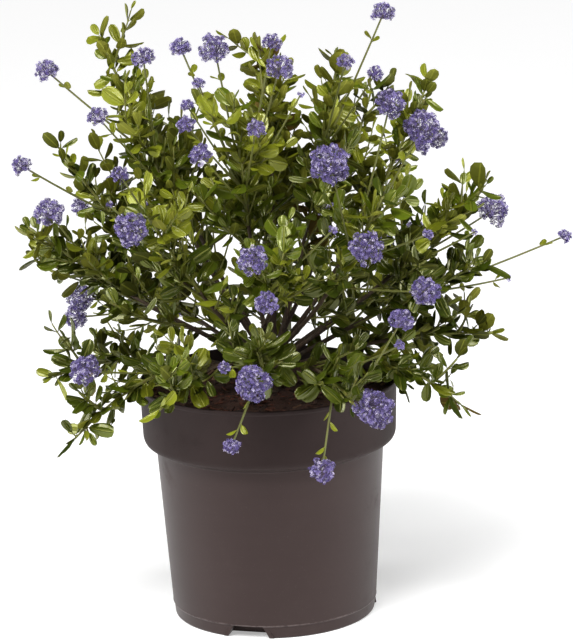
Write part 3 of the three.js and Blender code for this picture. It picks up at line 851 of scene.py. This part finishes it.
def leafTemplate():
    # each point has its share of the length and of the half width, and its depth in mm; the faces are
    # listed by finish, which is top, back or vein
    rows, columns = blade["rows"], blade["columns"]
    wide = len(columns)
    sinks = {columns[4]: blade["groove"], columns[5]: blade["groove"],
             blade["sideVein"]: blade["sideGroove"], -blade["sideVein"]: blade["sideGroove"]}
    points = [(t, u, sinks.get(u, 0) * math.sin(math.pi * t) ** 0.5) for t in rows for u in columns]
    base, tip, under = len(points), len(points) + 1, len(points) + 2
    points += [(0, 0, 0), (1, 0, 0)]
    points += [(t, u, blade["groove"] + blade["thickness"] * math.sin(math.pi * t) ** 0.5)
               for t in rows for u in (-blade["rib"], blade["rib"])]
    quads, ends = [[], [], []], [[], [], []]
    final, finalUnder = (len(rows) - 1) * wide, under + (len(rows) - 1) * 2
    for column in range(wide - 1):
        finish = 2 if column == 4 else 0
        for at in range(column, final, wide):
            quads[finish].append((at, at + wide, at + wide + 1, at + 1))
        ends[finish] += [(base, column, column + 1), (tip, final + column + 1, final + column)]
    for row in range(len(rows) - 1):
        left, right, rib = row * wide, row * wide + wide - 1, under + row * 2
        quads[1] += [(left, rib, rib + 2, left + wide), (rib + 1, right, right + wide, rib + 3)]
        quads[2].append((rib, rib + 1, rib + 3, rib + 2))
    ends[1] += [(base, under, 0), (base, wide - 1, under + 1), (tip, final, finalUnder),
                (tip, finalUnder + 1, final + wide - 1)]
    ends[2] += [(base, under + 1, under), (tip, finalUnder, finalUnder + 1)]
    return np.array(points), quads, ends


def addLeaves(heap, found):
    shape, quads, ends = leafTemplate()
    root, ahead, side = (np.array([entry[i] for entry in found]) for i in range(3))
    length, broad, bend, cup = (np.array([entry[i] for entry in found])[:, None] for i in range(3, 7))
    face = np.cross(ahead, side)
    t, u, sink = shape.T
    half = leaf["width"] * length / leaf["length"] * broad / 2
    across = u * bladeOutline(t) * half
    droop = blade["droop"] * (bend * 1.7 - 0.45) * length * t ** 2
    height = -droop - blade["roll"] * across ** 2 / half + blade["fold"] * (cup - 0.55) * np.abs(across)
    height = height - sink * length / leaf["length"]
    start = root + ahead * leaf["petiole"] * 0.9
    points = start[:, None] + ahead[:, None] * (t * length)[..., None]
    points = points + side[:, None] * across[..., None] + face[:, None] * height[..., None]
    heap.copies(points, quads[0])
    count, each = points.shape[:2]
    for faces, finish in ((ends[0], 0), (quads[1], 1), (ends[1], 1), (quads[2], 2), (ends[2], 2)):
        heap.extend(copied(faces, count, each), count * each, finish)
    # the petiole, three-sided from the twig to just under the blade
    ring = side[:, None] * np.cos(prismTurns)[:, None] + face[:, None] * np.sin(prismTurns)[:, None]
    thick, thin = blade["petioleRadii"]
    far = (start + ahead * 0.08 * length - face * 0.35)[:, None] + ring * thin
    heap.copies(np.concatenate([root[:, None] + ring * thick, far], 1), prismFaces, 1)
    heap.extend(copied([[0, 1, 2], [5, 4, 3]], count, 6), count * 6, 1)


print("making leaves")
foliageNodes = [f"foliage_{name}" for name in names]
for number, (name, (top, back, _, _)) in enumerate(sprays.items()):
    heap = Heap()
    addLeaves(heap, leaves[name])
    vein = tuple(part + 0.08 * share for part, share in zip(back, (1, 1.05, 0.12)))
    paints = [leafTopPaint(f"leaf_{name}", top), leafBackPaint(f"leaf_back_{name}", back),
              veinPaint(f"leaf_vein_{name}", vein)]
    makePiece(f"leaves_{name}", heap, paints, foliageNodes if number == 0 else (), crease=60)


# Blossom: little umbels on short branches round the stalk's end, with open florets and buds

floret = {"pitch": 1.95, "petals": 5, "petal": 1.35, "petalWidth": 0.74, "bud": 0.54, "budShare": 0.42,
          "pedicel": 0.14, "sizes": (0.8, 1.1), "tilt": 0.22, "seed": 901}
umbel = {"crowding": 5.8, "cap": 104, "jitter": 0.14, "reaches": (0.72, 1.0), "sunk": 0.8,
         "share": 0.25, "smallest": 1.6, "sizes": (0.75, 1.3)}
head = {"rise": 0.7, "cap": 118, "fullCap": 146, "large": 22, "capVary": 26, "jitter": 0.1,
        "crowding": 2.3, "reaches": (0.74, 1.08), "fork": 0.4, "branch": 0.28}
petalTints = {  # colour, tip, and its share of the open florets
    "blue": ((0.2, 0.148, 0.45), (0.4, 0.33, 0.7), 0.45),
    "violet": ((0.07, 0.04, 0.22), (0.155, 0.1, 0.4), 0.33),
    "pale": ((0.56, 0.49, 0.76), (0.8, 0.74, 0.9), 0.22),
}


def sidesOf(axis, slanted):
    # two directions across an axis, from any direction that slants away from it
    side = unit(np.cross(axis, slanted))
    return side, np.cross(axis, side)


def aroundAxis(axis, polar, turn):
    side, other = sidesOf(axis, [0.31, 0.87, 0.38])
    flat = side * np.cos(turn)[..., None] + other * np.sin(turn)[..., None]
    return axis * np.cos(polar)[..., None] + flat * np.sin(polar)[..., None]


def spiralCap(axis, count, widest, draw, jitter):
    # directions spread evenly over a cap about an axis
    i = np.arange(count) + 0.5
    low = math.cos(math.radians(widest))
    polar = np.arccos(1 - (1 - low) * i / count) + draw.normal(size=count) * jitter
    turn = math.radians(goldenTurn) * i + draw.normal(size=count) * jitter
    return aroundAxis(axis, np.abs(polar), turn)


def openFlorets(places, facings, sizes, draw):
    # cupped petals round a raised centre
    side, other = sidesOf(facings, draw.normal(size=facings.shape))
    points, faces, petals = [], [], floret["petals"]
    for petal in range(petals):
        turn = 2 * math.pi * petal / petals
        out = side * math.cos(turn) + other * math.sin(turn)
        lift = 0.15 + 0.45 * draw.uniform(size=(len(places), 1))
        tip = places + (out + facings * lift) * floret["petal"] * sizes
        middle = places + (out * 0.62 + facings * (0.62 * lift + 0.12)) * floret["petal"] * sizes
        wide = np.cross(facings, out) * floret["petalWidth"] / 2 * sizes
        points += [places + out * 0.25 * sizes, middle + wide, tip, middle - wide]
        foot, right, end, left = (petal * 4 + k for k in range(4))
        faces += [(foot, right, end), (foot, end, left)]
    heart = len(points)
    points.append(places + facings * 0.9 * sizes)
    faces += [(heart, petal * 4, (petal + 1) % petals * 4) for petal in range(petals)]
    return np.stack(points, 1), faces


def buds(places, facings, sizes, draw):
    side, other = sidesOf(facings, draw.normal(size=facings.shape))
    ways = (-facings, side, other, -side, -other, facings * 1.15)
    points = [places + way * floret["bud"] * sizes for way in ways]
    faces = [(0, 2, 1), (0, 3, 2), (0, 4, 3), (0, 1, 4), (5, 1, 2), (5, 2, 3), (5, 3, 4), (5, 4, 1)]
    return np.stack(points, 1), faces


def pedicels(start, ends, radius):
    ways = unit(ends - start)
    side, other = sidesOf(ways, up + 0.01)
    ring = [side * math.cos(turn) + other * math.sin(turn) for turn in prismTurns]
    return np.stack([place + way * radius for place in (start, ends) for way in ring], 1), prismFaces


def growBlossom():
    petalHeaps = {name: Heap() for name in petalTints}
    stalkHeap, branchHeap, budHeap = Heap(), Heap(), Heap()
    draw, total = np.random.RandomState(floret["seed"]), 0
    shares = [share for _, _, share in petalTints.values()]
    along = np.linspace(0, 1, stalk["rings"])
    for (centre, size), curve in zip(heads, stalkCurves):
        addTube(stalkHeap, curve, stalk["foot"] + (stalk["tip"] - stalk["foot"]) * along, along,
                stalk["sides"])
        way = (centre - curve[0]) / chordOf(curve)
        hangs = way[2] < 0
        axis = unit(way + up * (0 if hangs else head["rise"]))
        umbelRadius = max(umbel["share"] * size / 2, umbel["smallest"])
        reach = size / 2 - umbelRadius
        cap = head["fullCap"] if hangs or size > head["large"] else head["cap"]
        cap += head["capVary"] * (draw.uniform() - 0.5)
        crowd = head["crowding"] * (1 - math.cos(math.radians(cap))) * (reach / umbelRadius) ** 2
        umbels = max(4, round(crowd))
        umbelWays = spiralCap(axis, umbels, cap, draw, head["jitter"])
        middles = centre + umbelWays * reach * draw.uniform(*head["reaches"], (umbels, 1))
        branchHeap.copies(*pedicels(centre - axis * size / 2 * head["fork"], middles, head["branch"]))
        for way, middle in zip(umbelWays, middles):
            radius = umbelRadius * draw.uniform(*umbel["sizes"])
            count = max(4, int(umbel["crowding"] * (radius / floret["pitch"]) ** 2))
            ways = spiralCap(way, count, umbel["cap"], draw, umbel["jitter"])
            reaches = radius * draw.uniform(*umbel["reaches"], (count, 1)) - umbel["sunk"]
            places = middle + ways * reaches
            branchHeap.copies(*pedicels(middle, places, floret["pedicel"]))
            shut = draw.uniform(size=count) < floret["budShare"]
            facings = unit(ways + draw.normal(size=ways.shape) * floret["tilt"])
            sizes = draw.uniform(*floret["sizes"], (count, 1))
            if shut.any():
                budHeap.copies(*buds(places[shut], facings[shut], sizes[shut], draw))
            tint = draw.choice(list(petalTints), p=shares, size=count)
            for name, heap in petalHeaps.items():
                chosen = ~shut & (tint == name)
                if chosen.any():
                    heap.copies(*openFlorets(places[chosen], facings[chosen], sizes[chosen], draw))
            total += count
    print("blossom:", len(heads), "heads,", total, "florets and buds")
    return petalHeaps, stalkHeap, branchHeap, budHeap


petalHeaps, stalkHeap, branchHeap, budHeap = growBlossom()
for name, heap in petalHeaps.items():
    paint = petalPaint(f"petal_{name}", *petalTints[name][:2])
    makePiece(f"petals_{name}", heap, [paint])
budFinish = petalPaint("bud_violet", (0.02, 0.012, 0.09), (0.06, 0.038, 0.2))
makePiece("blossom_buds", budHeap, [budFinish])
stemFinishes = {  # finish, colour, flecks, roughness
    "blossom_branches": (branchHeap, "pedicel", (0.15, 0.115, 0.2), (0.11, 0.08, 0.22), 0.5),
    "blossom_stalks": (stalkHeap, "stalk_green", (0.105, 0.115, 0.017), (0.12, 0.075, 0.022), 0.46),
    "green_shoots": (stemHeap["shoot"], "shoot_green", (0.13, 0.14, 0.018), (0.13, 0.075, 0.022), 0.45),
    "woody_stems": (stemHeap["woody"], "stem_woody", (0.05, 0.03, 0.014), (0.09, 0.06, 0.032), 0.6),
}
for name, (heap, *finish) in stemFinishes.items():
    makePiece(name, heap, [stemPaint(*finish)])


# Trunk and boughs: bark with ridges and small knots

bark = {"ridge": 0.09, "knots": 0.05, "collar": 0.5, "collarLength": 5, "trunkSides": 56,
        "trunkSteps": 60, "boughSides": 20, "boughSteps": 30}


def barkRelief(points, turns, shares):
    rough = waves(points * (1, 1, 0.35), 3.2, 11) * bark["ridge"] * 0.5
    knots = waves(points, 9, 12) * bark["knots"]
    creases = -np.abs(waves(points * (1, 1, 0.25), 4.5, 13)) * bark["ridge"] * 0.5
    return (1 + rough + knots + creases + bark["ridge"] * 0.3).reshape(len(shares), len(turns))


def trunkRadius(share):
    flare = (trunk["footRadius"] - trunk["waist"]) * np.maximum(0, 1 - share / trunk["flare"]) ** 2
    return trunk["waist"] + (trunk["top"] - trunk["waist"]) * share + flare


def makeBark():
    heap = Heap()
    shares = np.linspace(0, 1, bark["trunkSteps"])
    addTube(heap, trunkCurve, trunkRadius(shares), shares, bark["trunkSides"], barkRelief)
    for number, name in enumerate(names):
        curve = partOf(limbs[name], 0, bare[name] + limb["overlap"])
        shares = np.linspace(0, 1, bark["boughSteps"]) ** 1.3    # closer rings near the collar
        collar = bark["collar"] * np.exp(-shares * chordOf(curve) / bark["collarLength"])
        radii = limbRadius(number, shares * bare[name]) * (1 + collar)
        addTube(heap, curve, radii, shares, bark["boughSides"], barkRelief)
    boughNodes = [f"bough_{name}" for name in names]
    makePiece("trunk_and_boughs", heap, [barkPaint()], ["trunk"] + boughNodes)


makeBark()


# Compost: a crumbly top with bark chips lying in it

compost = {"edge": 91.9, "top": 165.6, "mound": 1.6, "innermost": 2, "rings": 46, "spokes": 120,
           "lumps": ((17, 21, 0.9), (6.5, 22, 0.55), (2.8, 23, 0.3)),    # size, seed and height
           "roughness": 0.63,
           "sides": [(91.9, 163.4), (91.2, 137.2), (82.4, 129.6), (74.3, 18), (74.3, 13), (55, 13),
                     (54.6, 2.6)]}
chip = {"count": 620, "spread": 89, "edge": 91, "lift": (-0.2, 0.9), "tilt": 0.22, "roll": 0.05,
        "halves": ((1.4, 4.6), (0.8, 2.2), (0.35, 0.9)), "uneven": 0.62, "worn": 0.25, "seed": 31}
chipTints = {  # dark, light, and its share of the chips
    "dark": ((0.012, 0.006, 0.004), (0.05, 0.022, 0.014), 0.45),
    "red": ((0.04, 0.012, 0.007), (0.13, 0.042, 0.022), 0.38),
    "tan": ((0.075, 0.036, 0.02), (0.2, 0.11, 0.065), 0.17),
}


def compostHeight(points):
    away = np.hypot(points[:, 0], points[:, 1])
    flat = points * (1, 1, 0)
    lumps = sum(waves(flat, size, seed) * height for size, seed, height in compost["lumps"])
    mound = compost["mound"] * (1 - (away / compost["edge"]) ** 2)
    return compost["top"] + mound + lumps * compost["roughness"]


def makeCompost():
    count, sides = compost["rings"], compost["sides"]
    top = [(radius, 0) for radius in np.linspace(compost["innermost"], compost["edge"], count)]
    rings = roundRings(*zip(*top, *sides), compost["spokes"])
    rings[:count, :, 2] = compostHeight(rings[:count].reshape(-1, 3)).reshape(count, -1)
    heap = Heap()
    addTurned(heap, rings, (compostHeight(np.zeros((1, 3)))[0], sides[-1][1]))
    paint = compostPaint("compost", (0.014, 0.006, 0.004), (0.075, 0.03, 0.018), 420)
    makePiece("compost_body", heap, [paint], ["soil"])


def scatterChips():
    draw = np.random.RandomState(chip["seed"])
    chips = {name: Heap() for name in chipTints}
    shares = [share for _, _, share in chipTints.values()]
    for _ in range(chip["count"]):
        away, turn = chip["spread"] * math.sqrt(draw.uniform(0.015, 1)), draw.uniform(0, 6.283)
        centre = np.array([[away * math.cos(turn), away * math.sin(turn), 0]])
        centre[:, 2] = compostHeight(centre) + draw.uniform(*chip["lift"])
        halves = np.array([draw.uniform(*limits) for limits in chip["halves"]])
        halves[0] = min(halves[0], chip["edge"] - away)
        along = unit(np.array([math.cos(draw.uniform(0, 6.3)), math.sin(draw.uniform(0, 6.3)),
                               draw.normal() * chip["tilt"]]))
        rolled = [chip["roll"] * draw.normal(), chip["roll"] * draw.normal(), 1]
        over = unit(np.cross(rolled, along))
        basis = np.stack([along, over, np.cross(along, over)])
        corners = boxCorners * draw.uniform(chip["uneven"], 1.0, boxCorners.shape) * halves
        chips[draw.choice(list(chips), p=shares)].add(corners @ basis + centre, boxFaces)
    for name, heap in chips.items():
        paint = compostPaint(f"chip_{name}", *chipTints[name][:2], 260)
        made = makePiece(f"bark_chips_{name}", heap, [paint])
        bevel = made.modifiers.new("worn", "BEVEL")
        bevel.width, bevel.segments = chip["worn"] * 0.001, 1


makeCompost()
scatterChips()


# The pot: turned from a rounded profile, with three drain pockets pressed into its foot

pot = {"spokes": 192, "foot": 74, "wall": 1.8, "crease": 38, "profile": [  # radius, height, rounding
    (0, 0, 0), (72.8, 0, 0), (74, 0.9, 1),    # the foot
    (74.75, 9, 0.5), (75.75, 9.7, 0.5), (75.55, 11, 0.6),    # the moulded line
    (83.7, 128.6, 0.9), (87.6, 130.9, 1.8), (91.6, 132.6, 1.6), (93, 136, 2.2),    # the shoulder
    (94.25, 173.6, 0.5), (95, 174.4, 0.5), (94.95, 176.9, 1.1), (93.1, 177, 0.7),    # the rim
    (91.2, 136.6, 2), (82, 129.6, 2), (73.4, 4, 1.5), (71.6, 2.2, 0.8), (0, 2.2, 0)]}    # the inside
drain = {"count": 3, "bearing": 254, "foot": 0.8, "height": 9.4, "depth": 15, "wall": 2.3,
         "outside": 95, "widths": (33, 22), "slotWidth": 9, "slotDepth": 5}


def roundedProfile(corners):
    # the two edges that meet at a corner are cut back by its rounding and joined by a curve
    made = []
    for i, (x, z, rounding) in enumerate(corners):
        here = np.array([x, z], float)
        if rounding == 0 or i in (0, len(corners) - 1):
            made.append(here)
            continue
        before, after = (np.array(corners[k][:2], float) - here for k in (i - 1, i + 1))
        cuts = [min(rounding, np.linalg.norm(edge) * 0.48) for edge in (before, after)]
        first, last = here + unit(before) * cuts[0], here + unit(after) * cuts[1]
        for s in np.linspace(0, 1, 7 if rounding > 0.7 else 4):
            made.append((1 - s) ** 2 * first + 2 * s * (1 - s) * here + s ** 2 * last)
    return np.array(made)


def drainBlock(name, widths, heights, inner, outer, bearing):
    # a block across the wall at a bearing, with a width of its own at the foot and at the top
    points = np.array([(x * width / 2, y, z) for x in (-1, 1) for y in (-outer, -inner)
                       for width, z in zip(widths, heights)])
    turn = math.radians(bearing + 90)
    spin = [[math.cos(turn), math.sin(turn), 0], [-math.sin(turn), math.cos(turn), 0], [0, 0, 1]]
    mesh = bpy.data.meshes.new(name)
    mesh.from_pydata((points @ np.array(spin) * 0.001).tolist(), [], boxFaces)
    return linked(name, mesh)


def combine(made, other, operation):
    cut = made.modifiers.new("cut", "BOOLEAN")
    cut.object, cut.operation, cut.solver = other, operation, "EXACT"
    shape = bpy.data.meshes.new_from_object(made.evaluated_get(bpy.context.evaluated_depsgraph_get()))
    made.modifiers.clear()
    made.data = shape
    bpy.data.objects.remove(other)


def makePot():
    profile = roundedProfile(pot["profile"])[::-1]    # down from the inside, over the rim to the foot
    heap = Heap()
    addTurned(heap, roundRings(*profile[1:-1].T, pot["spokes"]), (profile[0][1], profile[-1][1]))
    made = makePiece("nursery_pot", heap, [potPaint()], ["pot"])
    wall, height, widths = pot["wall"], drain["height"], np.array(drain["widths"])
    inner, middle = pot["foot"] - drain["depth"], pot["foot"] - drain["depth"] / 2
    slot = drain["slotDepth"] / 2
    blocks = (("pocket", "UNION", widths + 2 * drain["wall"], (drain["foot"], height + wall),
               inner - wall, pot["foot"] - 1),
              ("opening", "DIFFERENCE", widths, (-1, height), inner, drain["outside"]),
              ("slot", "DIFFERENCE", (drain["slotWidth"], drain["slotWidth"]),
               (height - 1, height + 2 * wall), middle - slot, middle + slot))
    for i in range(drain["count"]):
        bearing = drain["bearing"] + 360 / drain["count"] * i
        for name, operation, *sizes in blocks:
            combine(made, drainBlock(name, *sizes, bearing), operation)
    made.data.shade_smooth()
    made.data.set_sharp_from_angle(angle=math.radians(pot["crease"]))


makePot()
print("pot made")


# Floor

def makeFloor():
    half = floorSettings["size"] / 2
    mesh = bpy.data.meshes.new("floor")
    corners = [(-half, -half, 0), (half, -half, 0), (half, half, 0), (-half, half, 0)]
    mesh.from_pydata(corners, [], [(0, 1, 2, 3)])
    mesh.materials.append(floorPaint())
    made = linked("floor", mesh)


makeFloor()
